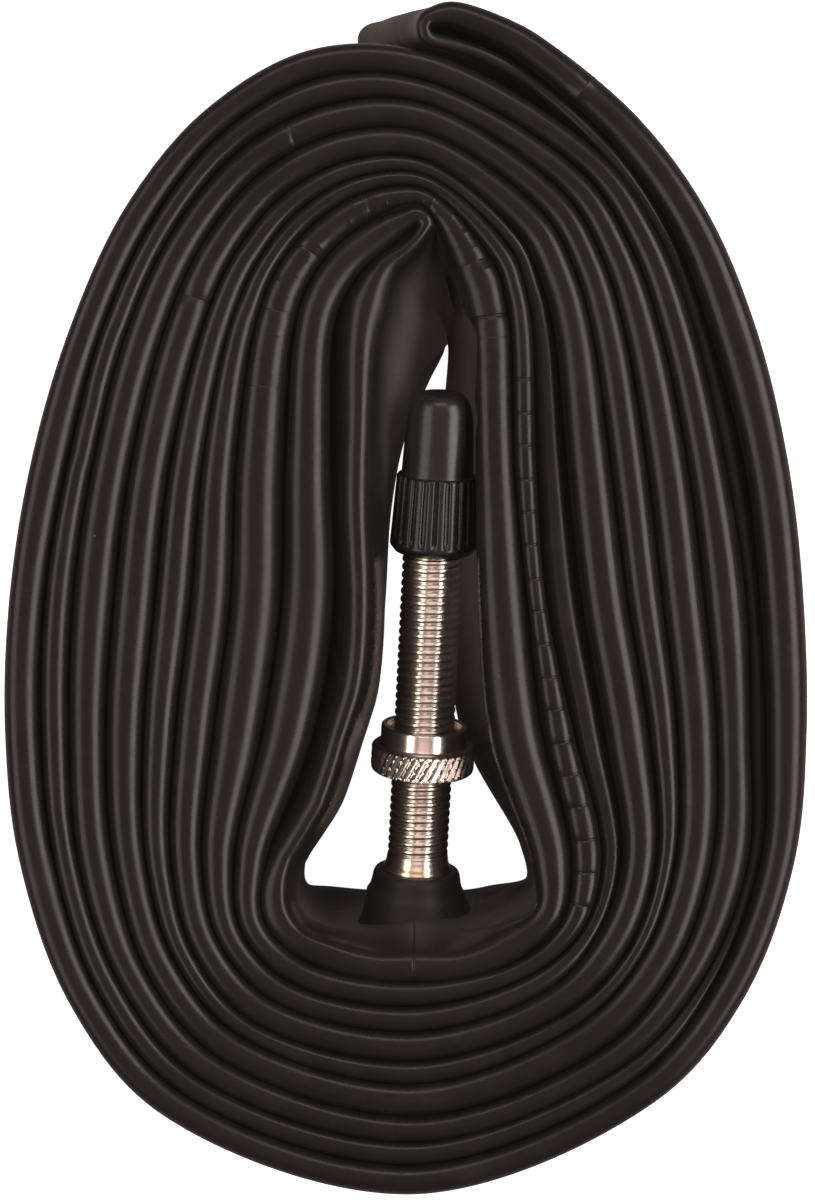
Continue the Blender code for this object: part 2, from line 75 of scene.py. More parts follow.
# Stations: centre, spoke angle in degrees, distances to the creases between layers.
RIGHT = (
    (LOW, -45.0, (9.8, 13.6, 15.3, 17.4, 20.2, 21.7, 25.0, 27.4, 29.2, 32.1)),
    (LOW, -22.5, (12.1, 15.0, 17.0, 18.6, 21.8, 23.1, 26.4, 29.2, 30.5, 33.6)),
    (LOW, 0.0, (10.9, 14.8, 17.5, 19.5, 22.8, 24.3, 27.9, 31.3, 32.6, 35.7)),
    (BELOW, 0.0, (7.1, 12.3, 14.9, 17.9, 22.1, 24.5, 28.4, 31.5, 33.1, 36.9)),
    (CENTRE, 0.0, (5.8, 10.6, 12.3, 15.7, 20.0, 23.2, 27.2, 31.1, 32.5, 36.6)),
    (ABOVE, 0.0, (5.4, 9.4, 11.4, 14.3, 18.4, 21.7, 25.6, 29.1, 31.0, 35.1)),
    (HIGH, 0.0, (4.2, 8.2, 10.1, 12.2, 15.7, 18.7, 22.1, 25.3, 26.9, 31.2)),
    (HIGH, 22.5, (4.3, 8.4, 10.2, 11.9, 15.2, 18.0, 20.9, 23.7, 25.1, 28.9)),
    (HIGH, 45.0, (5.1, 9.3, 11.1, 12.6, 15.7, 18.4, 21.0, 23.4, 24.9, 28.4)),
    (HIGH, 90.0, (11.7, 13.3, 14.6, 16.0, 18.6, 21.4, 23.5, 26.2)),
)
LEFT = (
    (HIGH, 112.5, (8.5, 11.6, 14.2, 15.7, 17.4, 20.2, 23.1, 25.7, 28.6)),
    (HIGH, 135.0, (8.1, 11.5, 14.5, 16.3, 18.3, 21.3, 24.3, 26.5, 29.3)),
    (HIGH, 157.5, (8.2, 11.7, 15.1, 16.9, 19.1, 22.3, 25.4, 27.4, 30.4)),
    (HIGH, 180.0, (8.6, 12.2, 16.0, 18.3, 20.8, 24.4, 28.0, 30.2, 33.3)),
    (ABOVE, 180.0, (7.9, 12.2, 16.8, 19.9, 22.9, 26.6, 30.3, 32.5, 36.1)),
    (CENTRE, 180.0, (7.6, 12.5, 17.3, 21.0, 24.3, 28.2, 32.1, 34.6, 38.1)),
    (BELOW, 180.0, (9.6, 14.3, 19.0, 22.5, 25.4, 29.0, 32.5, 35.0, 38.5)),
    (LOW, 180.0, (13.9, 16.9, 20.0, 22.9, 25.2, 28.3, 31.7, 33.8, 37.2)),
    (LOW, 202.5, (15.3, 17.6, 19.9, 22.6, 24.4, 27.3, 30.1, 32.2, 35.2)),
    (LOW, 225.0, (13.9, 16.4, 18.7, 21.6, 23.3, 26.2, 28.9, 30.9, 33.8)),
    (LOW, 270.0, (11.5, 13.8, 16.1, 18.9, 21.0, 24.1, 26.5, 28.6, 31.5)),
)

# A run of control points is known by (strand, turn, side); a point by its number
# as well.  Strands A and B are wound together; V passes the valve's foot, and I
# and O are the folds that join A and B at the inner and outer end.
SUNK = {("A", 1, "R"): 2.0, ("B", 4, "R"): 2.6}   # deepest drop of the crown

# Lean of the foot (x, y) and inward bow at the first stations of a run.
LEAN_AND_BOW = {
    ("A", 0, "R"): ((-0.3, 1.8, 0.0), (0.0, 0.4, 0.0), (-0.3, 0.0, 0.0), (-2.8, 0.0, 0.3),
                    (-3.0, 0.0, 1.0), (-3.5, 0.0, 1.9), (-2.0, 0.0, 0.8), (-1.6, -0.6, 0.0),
                    (-0.6, -0.6, 0.0)),
    ("B", 0, "L"): ((0.3, -1.5, 0.0), (0.0, -0.4, 0.0)),
}

# Control points off the spokes: x and y of the crown, lean of the foot in x and y,
# thickness, and in the outer fold the drop of the crown.
VALVE_SPOT = ((VALVE_X, -34.0, 0.0, 3.1, 3.0),)
RIGHT_CORNER = ((4.8, -33.9, 0.0, 3.0, 2.6),)
LEFT_CORNER = (
    (-3.3, -33.9, 0.0, 3.0, 2.7),
    (-7.5, -32.7, -0.4, 2.0, 3.0),
    (-10.2, -31.4, -0.4, 1.1, 2.7),
    (-11.7, -29.4, -0.1, 0.4, 2.7),
    (-12.0, -27.0, 0.0, 0.0, 2.8),
    (-11.4, -24.3, 0.0, 0.0, 3.0),
    (-8.2, -18.4, 0.0, 0.0, 3.4),
    (-6.4, -12.6, 0.0, 0.0, 3.5),
    (-5.0, -7.9, 0.0, 0.0, 3.7),
    (-4.35, 0.0, 0.0, 0.0, 3.9),
    (-4.5, 9.3, 0.8, 0.0, 3.9),
    (-4.3, 16.8, 2.2, -0.2, 3.6),
)
INNER_FOLD = (
    (-4.1, 24.5, 5.2, -1.5, 2.8),
    (-3.5, 27.9, 6.0, -2.6, 2.4),
    (-2.2, 31.0, 5.2, -4.0, 2.0),
    (0.5, 33.4, 3.1, -5.0, 1.6),
    (1.46, 34.44, 2.1, -5.3, 1.3),
    (1.75, 35.15, 1.9, -5.2, 1.2),
    (1.46, 35.86, 1.7, -5.0, 1.2),
    (0.75, 36.15, 1.4, -4.6, 1.3),
    (-0.7, 35.45, 0.8, -3.1, 1.7),
)
OUTER_FOLD = (
    (12.3, 51.2, -0.3, 1.0, 2.6, 0.0),
    (9.4, 53.0, -1.3, 1.8, 2.4, 0.0),
    (4.2, 54.9, -3.5, 3.0, 1.9, 0.0),
    (2.5, 54.65, -5.6, 3.6, 1.3, 0.0),
    (1.86, 54.27, -6.0, 3.7, 1.1, 0.0),
    (1.6, 53.55, -6.15, 3.75, 1.0, 0.0),
    (1.86, 52.83, -6.1, 3.75, 1.0, 0.1),
    (2.5, 52.45, -5.8, 3.7, 1.0, 0.3),
    (4.1, 52.15, -5.0, 3.4, 1.0, 0.7),
    (7.3, 51.2, -3.0, 2.2, 1.0, 1.4),
    (11.6, 48.9, -0.8, 0.8, 1.1, 2.2),
)


# ---------------------------------------------------------------- the roll's path
def spoke_knot(station, index, tag):
    """Control point in the middle of one layer, with its tag."""
    centre, degrees, creases = station
    inner, outer = creases[index:index + 2]
    reach, angle = 0.5 * (inner + outer), math.radians(degrees)
    run, number = tag[:3], tag[3]
    leans = LEAN_AND_BOW.get(run, ())
    lean_x, lean_y, bow = leans[number] if number < len(leans) else (0.0, 0.0, 0.0)
    sink = SUNK.get(run, 0.0) * math.sin(math.pi * (number + 0.5) / len(RIGHT))
    return (centre[0] + reach * math.cos(angle), centre[1] + reach * math.sin(angle),
            lean_x, lean_y, outer - inner - LAYER_GAP, sink, bow), tag


def strand(name):
    """Knots of one wound strand, from its inner end to its outer end."""
    offset = 1 if name == "A" else 0
    knots = []
    for turn in range(5):
        if name == "A" or turn > 0:
            # the last turn ends before the station at 90 degrees
            stations = RIGHT[:-1] if turn == 4 else RIGHT
            knots += [spoke_knot(station, 2 * turn - 1 + offset, (name, turn, "R", k))
                      for k, station in enumerate(stations)]
        if turn < 4:
            knots += [spoke_knot(station, 2 * turn + offset, (name, turn, "L", k))
                      for k, station in enumerate(LEFT)]
    return knots


def free_knots(rows, name, side):
    """Knots off the spokes; columns a row lacks are zero."""
    return [(row + (0.0,) * (7 - len(row)), (name, 0, side, k)) for k, row in enumerate(rows)]


def all_knots():
    return (free_knots(VALVE_SPOT, "V", "V") + free_knots(RIGHT_CORNER, "V", "R")
            + strand("A") + free_knots(OUTER_FOLD, "O", "O") + strand("B")[::-1]
            + free_knots(INNER_FOLD, "I", "I")[::-1] + free_knots(LEFT_CORNER, "V", "L")[::-1])


def smooth_loop(points, steps):
    """Centripetal Catmull-Rom spline through a closed list of points."""
    def between(first, second, low, high):
        return ((high - at) * first + (at - low) * second) / (high - low)

    dense = []
    count = len(points)
    for i in range(count):
        near = [points[(i + k - 1) % count] for k in range(4)]
        time = [0.0]
        for start, end in zip(near, near[1:]):
            time.append(time[-1] + max(math.dist(start[:2], end[:2]), 1e-6) ** 0.5)
        for step in range(steps):
            at = time[1] + (time[2] - time[1]) * step / steps
            level = near
            for span in (1, 2):
                level = [between(level[j], level[j + 1], time[j], time[j + span])
                         for j in range(len(level) - 1)]
            dense.append(between(level[0], level[1], time[1], time[2]))
    return np.array(dense)


def smooth(x):
    x = min(1.0, max(0.0, x))
    return x * x * (3.0 - 2.0 * x)


class Path:
    """The loop as arrays over its arc length."""

    STEPS = 24   # between one knot and the next

    def __init__(self):
        knots = all_knots()
        self.tags = [tag for _, tag in knots]
        dense = smooth_loop([np.array(point) for point, _ in knots], self.STEPS)
        top = dense[:, 0:2]
        low = top + dense[:, 2:4]
        self.columns = (top, low, self.normals(top), self.normals(low), dense[:, 4],
                        np.maximum(0.0, dense[:, 5]), dense[:, 6])
        middle = 0.5 * (top + low)
        step = np.linalg.norm(np.roll(middle, -1, axis=0) - middle, axis=1)
        self.arcs = np.concatenate([[0.0], np.cumsum(step)])
        self.length = self.arcs[-1]
        self.count = len(dense)

    @staticmethod
    def normals(points):
        """Unit normals to the left of the direction of travel."""
        along = np.roll(points, -1, axis=0) - np.roll(points, 1, axis=0)
        along /= np.linalg.norm(along, axis=1)[:, None]
        return np.stack([-along[:, 1], along[:, 0]], axis=1)

    def at(self, arc):
        """Top, low, their normals, thickness, sink and bow at an arc length."""
        arc = arc % self.length
        i = int(np.searchsorted(self.arcs, arc, side="right")) - 1
        i = min(max(i, 0), self.count - 1)
        j = (i + 1) % self.count
        part = (arc - self.arcs[i]) / max(self.arcs[i + 1] - self.arcs[i], 1e-9)
        return [column[i] * (1.0 - part) + column[j] * part for column in self.columns]

    def of(self, *tag):
        """Arc length of one control point."""
        return float(self.arcs[self.tags.index(tag) * self.STEPS])

    def regular(self, max_turn, max_step):
        """Arc lengths no further apart than a turn in degrees and a step."""
        places, normals = self.columns[:2], self.columns[2:4]
        keep = [0]
        for i in range(1, self.count):
            j = keep[-1]
            turn = max(math.acos(min(1.0, float(normal[i] @ normal[j]))) for normal in normals)
            step = max(float(np.linalg.norm(place[i] - place[j])) for place in places)
            if math.degrees(turn) > max_turn or step > max_step:
                keep.append(max(j + 1, i - 1))
        return [float(self.arcs[i]) for i in keep]


PATH = Path()

# Where the tube is slacker than its layer, for each point of a run: how much wider
# the crown is on its outer and on its inner side, how much deeper its outer and
# inner shoulders fall, and how far the flat side bellies inwards.
SLACK = {
    ("V", 0, "V"): ((0.30, 0.9, 0.0, 4.4, 0.8),),
    ("V", 0, "R"): ((0.45, 0.7, 0.0, 3.8, 0.7),),
    ("A", 0, "R"): ((0.10, 0.0, 0.0, 0.6, 0.0), (0.0, 0.0, 0.0, 0.0, 0.0)),
    ("V", 0, "L"): (
        (0.40, 0.6, 0.0, 3.6, 0.2), (0.30, 0.0, 0.0, 1.6, -1.0), (0.30, 0.0, 0.0, 2.0, 0.0),
        (0.45, 0.0, 0.0, 1.8, 0.0), (0.30, 0.0, 0.0, 2.0, 0.3), (0.30, 0.1, 1.0, 3.0, 0.8),
        (0.85, 0.3, 3.0, 4.0, 1.2), (0.90, 0.3, 3.5, 4.0, 0.9), (1.15, 0.2, 4.0, 3.0, 0.4),
        (0.85, 0.1, 4.0, 2.0, 0.2), (1.15, 0.4, 4.0, 3.0, 0.5), (1.75, 1.0, 5.0, 6.0, 0.6)),
    ("I", 0, "I"): (
        (3.10, 2.5, 6.0, 10.0, 1.1), (3.30, 3.6, 5.0, 12.0, 1.5), (1.20, 2.4, 2.5, 10.0, 1.3),
        (0.10, 1.0, 0.5, 6.0, 0.8), (0.0, 0.2, 0.0, 2.0, 0.4), (0.0, 0.0, 0.0, 0.0, 0.0)),
    ("B", 0, "L"): ((0.0, 0.0, 0.0, 0.0, 0.0),),
}
SLACK_ROWS = sorted((PATH.of(*run, k), row) for run, rows in SLACK.items()
                    for k, row in enumerate(rows))
SLACK_ARCS = np.array([arc for arc, _ in SLACK_ROWS])
SLACK_VALUES = np.array([row for _, row in SLACK_ROWS])


def slack(arc):
    return [float(np.interp(arc % PATH.length, SLACK_ARCS, column, period=PATH.length))
            for column in SLACK_VALUES.T]


# ---------------------------------------------------------------- moulded marks
# Each mark: arc length, half width along the tube, first and last share across
# the crown (-1 inner side ... +1 outer side), height (negative is a groove).
def ticks():
    """A row of short grooves along one strand, about 3 mm apart."""
    marks = []
    arc, last = PATH.of("B", 1, "R", 6) - 8.0, PATH.of("B", 1, "R", 2) + 6.5
    n = 0
    while arc < last:
        if PATH.at(arc)[0][1] < 22.5:
            marks.append((arc, 0.19, -0.95, 0.95, -0.095))
        arc += 3.12 + 0.12 * math.sin(2.3 * n)
        n += 1
    return marks


def ladder():
    """Irregular ribs, inner and outer by turns, over the first layer's crown."""
    marks = []
    arc, last = PATH.of("A", 0, "R", 6) - 4.5, PATH.of("A", 0, "L", 3) + 6.0
    n = 0
    while arc < last:
        phase = math.sin(1.7 * n) + math.sin(0.61 * n * n)
        width = 0.20 + 0.07 * math.sin(2.9 * n)
        if n % 7 == 4:
            marks.append((arc, 0.18, -0.8, 0.8, -0.050))
        elif n % 2:
            marks.append((arc, width, -0.62, -0.04, 0.026 + 0.011 * phase))
        else:
            marks.append((arc, width, 0.02, 0.66, 0.026 - 0.011 * phase))
        arc += 0.72 + 0.24 * (1.0 + math.sin(1.3 * n + 0.4))
        n += 1
    return marks


def cross_lines():
    """Fine lines, raised or sunk, right across the tube."""
    lines = ((PATH.of("V", 0, "V", 0) - 0.35, -0.056),
             (PATH.of("A", 4, "R", 8) + 5.6, 0.049),
             (PATH.of("A", 2, "L", 1) - 4.2, -0.07),
             (PATH.of("B", 2, "L", 2) - 5.4, -0.07),
             (PATH.of("A", 0, "R", 6) + 1.2, -0.112))
    return [(arc, 0.15, -1.4, 1.4, height) for arc, height in lines]


MARKS = ticks() + ladder() + cross_lines()


def mark_height(arc, share):
    edge_width = 0.18   # in shares of the crown
    total = 0.0
    for at, width, first, last, height in MARKS:
        away = abs(arc - at)
        away = min(away, PATH.length - away)
        if away < width:
            edge = smooth((share - first) / edge_width) * smooth((last - share) / edge_width)
            total += height * edge * (0.5 + 0.5 * math.cos(math.pi * away / width))
    return total


# ---------------------------------------------------------------- the tube's skin
CROWN_ANGLES = (9.0, 18.0, 27.0, 36.0, 46.0, 58.0, 72.0, 90.0)
FOOT_ANGLES = (90.0, 60.0, 30.0)
WEB = 1.9                          # thickness between the crown and the foot
EXTRA_THICK = 0.34                 # crown and foot bulge past the layer's thickness
FALLS = (0.14, 0.34, 0.60, 1.0)    # shares of the fall from the bulge to the web
FALL_LENGTH, THIN_FALL_LENGTH = 4.6, 2.0
# Rows down the web, as shares of the height, on the +normal and -normal side.
WEB_FINE = (0.80, 0.72, 0.64, 0.56, 0.48, 0.40, 0.32, 0.24)
WEB_PLAIN = (0.74, 0.58, 0.42, 0.26)


def wave(arc, seed, length):
    """Smooth noise that closes on itself round the loop."""
    angle = 2.0 * math.pi * arc / PATH.length
    radius = PATH.length / (2.0 * math.pi * length)
    return noise.noise(Vector((radius * math.cos(angle), radius * math.sin(angle), seed)))


def crown_skew(x, y):
    """How far the crowns lean towards the roll's middle, by place."""
    angle = math.atan2(y - ROLL_MIDDLE[1], x - ROLL_MIDDLE[0])
    return -0.055 + 0.06 * math.cos(angle) - 0.05 * math.sin(angle)


def outline(arc, thick, height, inward):
    """Closed ring of (across, z, share, kind); across is along the section's
    normal, share runs over the crown, kind is c(rown), w(eb) or f(oot)."""
    half = 0.5 * (thick + EXTRA_THICK)
    rise = half * 0.88 * (1.0 + 0.10 * wave(arc, seed=3.1, length=28.0))
    outside, inside, outside_drop, inside_drop, belly = slack(arc)
    square = 0.10 + 0.20 * wave(arc, seed=9.7, length=35.0)
    skew = inward * (1.0 + 0.8 * wave(arc, seed=17.0, length=40.0))
    length = FALL_LENGTH if thick > 2.0 else THIN_FALL_LENGTH

    def flank(side, rows, wider, drop, bulge):
        """One side of the ring, from the crown down to the foot."""
        points = []
        top_half, top_rise = half + wider, rise + drop
        web = min(0.5 * WEB, half) + bulge
        for degrees in CROWN_ANGLES:
            angle = math.radians(degrees)
            across = math.sin(angle) + square * 0.12 * math.sin(2.0 * angle)
            z = height - rise * (1.0 - math.cos(angle)) - drop * math.sin(angle) ** 2.1
            points.append((side * top_half * across + skew * rise * math.cos(angle), z,
                           side * degrees / 90.0, "c"))
        for fall in FALLS:
            points.append((side * (web + (top_half - web) * (1.0 - smooth(fall))),
                           height - top_rise - length * fall, side * 1.2, "w"))
        top, low = height - top_rise - length, rise + length
        for row in rows:
            part = (row - rows[-1]) / (rows[0] - rows[-1])
            points.append((side * web, low + (top - low) * (0.06 + 0.88 * part),
                           side * 1.3, "w"))
        for fall in reversed(FALLS[1:]):
            points.append((side * (web + (half - web) * (1.0 - smooth(fall))),
                           rise + length * fall, side * 1.3, "w"))
        for degrees in FOOT_ANGLES:
            angle = math.radians(degrees)
            points.append((side * half * math.sin(angle), rise * (1.0 - math.cos(angle)),
                           side * 1.3, "f"))
        return points

    plus = flank(1.0, WEB_FINE, inside, inside_drop, belly)
    minus = flank(-1.0, WEB_PLAIN, outside, outside_drop, 0.0)
    return [(skew * rise, height, 0.0, "c")] + plus + [(0.0, 0.0, 0.0, "f")] + minus[::-1]


# Folds in the inner face of the tube about the valve's foot: run of (x, z) points,
# width, height (negative is a groove).
FOLDS = (
    (((2.2, 6.0), (4.9, 16.4), (8.4, 10.5), (12.6, 4.0)), 0.80, 1.0),
    (((7.0, 6.2), (8.6, 4.4), (9.6, 5.0)), 0.45, 0.45),
    (((8.6, 7.4), (10.4, 5.2), (12.0, 4.6)), 0.40, -0.40),
    (((9.4, 7.4), (11.0, 7.9), (12.6, 9.2)), 0.35, 0.25),
    (((-12.0, 21.0), (-7.0, 19.0), (-1.5, 20.5), (4.0, 20.0), (9.0, 22.0)), 2.2, 0.42),
)


def to_segment(x, z, start, end):
    """Distance from (x, z) to a segment."""
    run_x, run_z = end[0] - start[0], end[1] - start[1]
    part = ((x - start[0]) * run_x + (z - start[1]) * run_z) / (run_x * run_x + run_z * run_z)
    part = min(1.0, max(0.0, part))
    return math.hypot(x - start[0] - run_x * part, z - start[1] - run_z * part)


def valve_folds(x, z):
    total = 0.0
    for run, width, height in FOLDS:
        away = min(to_segment(x, z, start, end) for start, end in zip(run, run[1:]))
        ends = min(math.dist((x, z), run[0]), math.dist((x, z), run[-1]))
        total += height * math.exp(-(away / width) ** 2) * smooth(0.35 + ends / 2.0)
    return total


def ring_at(arc):
    """The skin's closed section at an arc length, in metres."""
    top, low, top_normal, low_normal, thick, sink, bow = PATH.at(arc)
    height = LAY_FLAT - sink - 0.22 * (0.5 + 0.5 * wave(arc, seed=1.3, length=22.0))
    sway = 0.10 * wave(arc, seed=5.9, length=24.0)
    faces_middle = float(top_normal @ (np.array(ROLL_MIDDLE) - top)) > 0.0
    towards = 1.0 if faces_middle else -1.0
    skew = towards * crown_skew(top[0], top[1]) if thick > 1.8 else 0.0
    by_valve = 0.0
    if top[1] < -26.0 and (arc < 40.0 or arc > PATH.length - 60.0):
        by_valve = smooth((15.0 - abs(top[0] - VALVE_X)) / 3.0)
    ring = []
    for across, z, share, kind in outline(arc, thick, height, skew):
        up = z / height
        normal = low_normal * (1.0 - up) + top_normal * up
        normal = normal / np.linalg.norm(normal)
        extra = 0.0
        if kind == "c":
            bump = mark_height(arc, -towards * share)
            angle = math.radians(share * 90.0)
            extra = bump * math.sin(angle)
            z += bump * math.cos(angle)
            up = z / height
        elif kind == "w":
            side = 1.0 if share > 0 else -1.0
            soft = smooth(4.0 * up) * smooth(4.0 * (1.0 - up))
            extra = soft * 0.26 * noise.noise(Vector((top[0] / 9.0, top[1] / 9.0,
                                                      z / 7.0 + 31.0 * side)))
            if share > 0 and by_valve:
                extra += by_valve * valve_folds(float(top[0]), z) * smooth(5.0 * (1.0 - up))
            extra += mark_height(arc, share) * side
        reach = across - bow * 4.0 * up * (1.0 - up) + sway * up + extra
        x = low[0] * (1.0 - up) + top[0] * up + reach * normal[0]
        y = low[1] * (1.0 - up) + top[1] * up + reach * normal[1]
        ring.append(((x + ORIGIN_SHIFT[0]) * MM, (y + ORIGIN_SHIFT[1]) * MM, max(z, 0.0) * MM))
    return ring


def ring_places():
    """Arc lengths of the rings: five at each mark, close ones beside the valve's
    foot, and as many between as the bends ask for."""
    fixed = [at + share * width for at, width, *_ in MARKS
             for share in (-1.0, -0.5, 0.0, 0.5, 1.0)]
    fixed += [0.42 * k for k in range(-36, 37)]
    places = []
    for arc in sorted(arc % PATH.length for arc in fixed):
        if not places or arc - places[-1] > 0.05:
            places.append(arc)
    grid = np.array(places)
    places += [arc for arc in PATH.regular(max_turn=3.6, max_step=1.9)
               if np.abs(grid - arc).min() > 0.35]
    return sorted(places)


# ---------------------------------------------------------------- mesh helpers
def link(name, data):
    obj = bpy.data.objects.new(name, data)
    bpy.context.scene.collection.objects.link(obj)
    return obj


def lofted(name, rings, closed=True, sharp=None):
    """A body lofted through rings of equal length: closed into a loop or capped.
    Edges sharper than the angle in degrees are marked sharp."""
    count, size = len(rings), len(rings[0])
    faces = []
    for i in range(count if closed else count - 1):
        here, after = i * size, ((i + 1) % count) * size
        for k in range(size):
            m = (k + 1) % size
            faces.append((here + k, here + m, after + m, after + k))
    if not closed:
        faces.append(tuple(range(size)))
        faces.append(tuple(reversed(range((count - 1) * size, count * size))))
    mesh = bpy.data.meshes.new(name)
    mesh.from_pydata([point for ring in rings for point in ring], [], faces)
    bm = bmesh.new()
    bm.from_mesh(mesh)
    bmesh.ops.recalc_face_normals(bm, faces=bm.faces)
    bm.to_mesh(mesh)
    bm.free()
    mesh.shade_smooth()
    if sharp is not None:
        mesh.set_sharp_from_angle(angle=math.radians(sharp))
    return link(name, mesh)


def give(obj, material):
    obj.data.materials.clear()
    obj.data.materials.append(material)


def register(obj, material, body, node):
    give(obj, material)
    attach(obj, body)
    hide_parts(node)


# ---------------------------------------------------------------- node helpers
class Graph:
    """Adds nodes to a tree; an input may be a value or another node's socket."""

    def __init__(self, tree):
        self.nodes = tree.nodes
        self.links = tree.links
        self.coord = self.node("TexCoord").outputs

    def feed(self, socket, value):
        if isinstance(value, bpy.types.NodeSocket):
            self.links.new(value, socket)
        else:
            socket.default_value = value

    def node(self, kind, inputs=None, **settings):
        made = self.nodes.new("ShaderNode" + kind)
        for name, value in settings.items():
            setattr(made, name, value)
        for name, value in (inputs or {}).items():
            self.feed(made.inputs[name], value)
        return made

    def place(self, scale):
        scales = scale if isinstance(scale, tuple) else (scale,) * 3
        return self.node("Mapping", {"Scale": scales,
                                     "Vector": self.coord["Object"]}).outputs["Vector"]

    def noise(self, scale, detail=3.0, rough=0.5):
        return self.node("TexNoise", {"Scale": 1.0, "Detail": detail, "Roughness": rough,
                                      "Vector": self.place(scale)}).outputs["Fac"]

    def ramp(self, source, stops):
        """Colour ramp through (position, colour) stops."""
        made = self.node("ValToRGB", {"Fac": source})
        elements = made.color_ramp.elements
        while len(elements) < len(stops):
            elements.new(0.5)
        for element, (position, colour) in zip(elements, stops):
            element.position = position
            element.color = (*colour, 1.0)
        return made.outputs["Color"]

    def range(self, source, span, to):
        return self.node("MapRange", {"From Min": span[0], "From Max": span[1], "To Min": to[0],
                                      "To Max": to[1], "Value": source}).outputs["Result"]

    def mix(self, factor, first, second):
        first, second = ((*colour, 1.0) if isinstance(colour, tuple) else colour
                         for colour in (first, second))
        return self.node("Mix", {"Factor": factor, "A": first, "B": second},
                         data_type="RGBA").outputs["Result"]

    def calc(self, operation, first, second):
        return self.node("Math", {0: first, 1: second}, operation=operation).outputs["Value"]

    def times(self, first, second):
        return self.calc("MULTIPLY", first, second)

    def height(self, source):
        return self.node("SeparateXYZ", {"Vector": source}).outputs["Z"]

    def camera_ray(self):
        return self.node("LightPath").outputs["Is Camera Ray"]


class Look(Graph):
    """A material about its Principled BSDF."""

    def __init__(self, name):
        self.material = bpy.data.materials.new(name)
        self.material.use_nodes = True
        super().__init__(self.material.node_tree)
        self.bsdf = self.nodes["Principled BSDF"]

    def set(self, name, value):
        self.feed(self.bsdf.inputs[name], value)

    def bump(self, layers):
        """Stacked bumps from (height, strength, distance in metres) rows."""
        normal = None
        for source, strength, distance in layers:
            inputs = {"Strength": strength, "Distance": distance, "Height": source}
            if normal is not None:
                inputs["Normal"] = normal
            normal = self.node("Bump", inputs).outputs["Normal"]
        self.set("Normal", normal)


# ---------------------------------------------------------------- materials
# Spots of painted light that lift rubber lying in shade, as ellipsoids in mm:
# centre, radii, the shares of the radii where it is full and where it ends, strength, painted
# lighter colour, painted glow colour.
PAINTED_LIGHT_SPOTS = (
    # the fold beyond the valve's tip
    ((0.0, 21.5, 18.0), (6.5, 15.0, 18.0), (0.55, 1.15),
     0.80, (0.190, 0.165, 0.161), (0.0110, 0.0085, 0.0085)),
    # about the valve's foot
    ((VALVE_X, -31.0, 16.0), (17.0, 5.5, 16.0), (0.60, 1.10),
     0.45, (0.110, 0.094, 0.091), (0.0095, 0.0072, 0.0070)),
    # the lane to the right of the valve
    ((7.0, 10.0, 13.0), (4.0, 26.0, 18.0), (0.60, 1.10),
     0.80, (0.200, 0.168, 0.160), (0.0230, 0.0165, 0.0150)),
)


def painted_light_spot(look, below, centre, radii, span):
    """1 inside an ellipsoid and 0 outside it, below the crowns."""
    spot = look.node("Mapping", {"Location": [-c / r for c, r in zip(centre, radii)],
                                 "Scale": [1.0 / (radius * MM) for radius in radii],
                                 "Vector": look.coord["Object"]})
    far = look.node("VectorMath", {0: spot.outputs["Vector"]}, operation="LENGTH")
    return look.times(below, look.range(far.outputs["Value"], span=span, to=(1.0, 0.0)))


def lint_specks(look):
    """Small dots in a fifth of the cells of a Voronoi pattern."""
    cells = look.node("TexVoronoi", {"Scale": 1.0, "Randomness": 1.0,
                                     "Vector": look.place(210.0)}, feature="F1").outputs
    pick = look.node("SeparateColor", {"Color": cells["Color"]}).outputs["Red"]
    near = look.range(cells["Distance"], span=(0.012, 0.026), to=(1.0, 0.0))
    return look.times(near, look.calc("GREATER_THAN", pick, 0.80))


def rubber(name, base, rough, dust_and_painted_light=1.0):
    """Moulded butyl: satin, faintly mottled, with a little dust and lint; parts in shade are
    painted lighter and given a faint painted glow.
    """
    look = Look(name)
    broad = look.noise(scale=90.0, rough=0.55)
    fine = look.noise(scale=900.0, detail=4.0, rough=0.6)
    grain = look.noise(scale=5200.0, detail=2.0)
    dark, light = (tuple(gain * channel for channel in base) for gain in (0.80, 1.22))
    colour = look.ramp(broad, stops=((0.30, dark), (0.70, light)))
    haze = look.range(look.noise(scale=240.0, detail=5.0, rough=0.62),
                      span=(0.52, 0.78), to=(0.0, 0.16 * dust_and_painted_light))
    colour = look.mix(haze, colour, (0.075, 0.068, 0.066))
    # painted fill light: the flat sides below the crowns, in shade between the layers, are
    # painted lighter
    below = look.range(look.height(look.coord["Object"]), span=(0.0288, 0.0240), to=(0.0, 1.0))
    colour = look.mix(look.times(below, 0.36 * dust_and_painted_light), colour, (0.060, 0.052, 0.051))
    # a faint painted glow (emission) keeps the deepest grooves from going fully black
    painted_glow = (0.0034, 0.0027, 0.0028)
    # each spot paints a lighter colour and a glow onto rubber that lies in shade
    for centre, radii, span, strength, painted_lift_colour, painted_glow_colour in PAINTED_LIGHT_SPOTS:
        region = painted_light_spot(look, below, centre, radii, span)
        colour = look.mix(look.times(region, strength * dust_and_painted_light), colour, painted_lift_colour)
        painted_glow = look.mix(look.times(region, dust_and_painted_light), painted_glow, painted_glow_colour)
    colour = look.mix(look.times(lint_specks(look), 0.55 * dust_and_painted_light), colour, (0.34, 0.31, 0.28))
    look.set("Base Color", colour)
    worn = look.range(look.noise(scale=55.0, rough=0.6), span=(0.35, 0.70), to=(-0.03, 0.07))
    worn = look.calc("ADD", worn, look.times(below, 0.20))
    satin = look.range(fine, span=(0.3, 0.7), to=(rough - 0.035, rough + 0.045))
    look.set("Roughness", look.calc("ADD", satin, worn))
    look.set("IOR", 1.52)
    look.set("Specular Tint", (1.0, 0.91, 0.94, 1.0))
    look.set("Emission Color", painted_glow)
    look.set("Emission Strength", 1.0)
    look.bump(((broad, 0.06, 0.0006), (fine, 0.05, 0.00012), (grain, 0.08, 0.00002)))
    return look.material


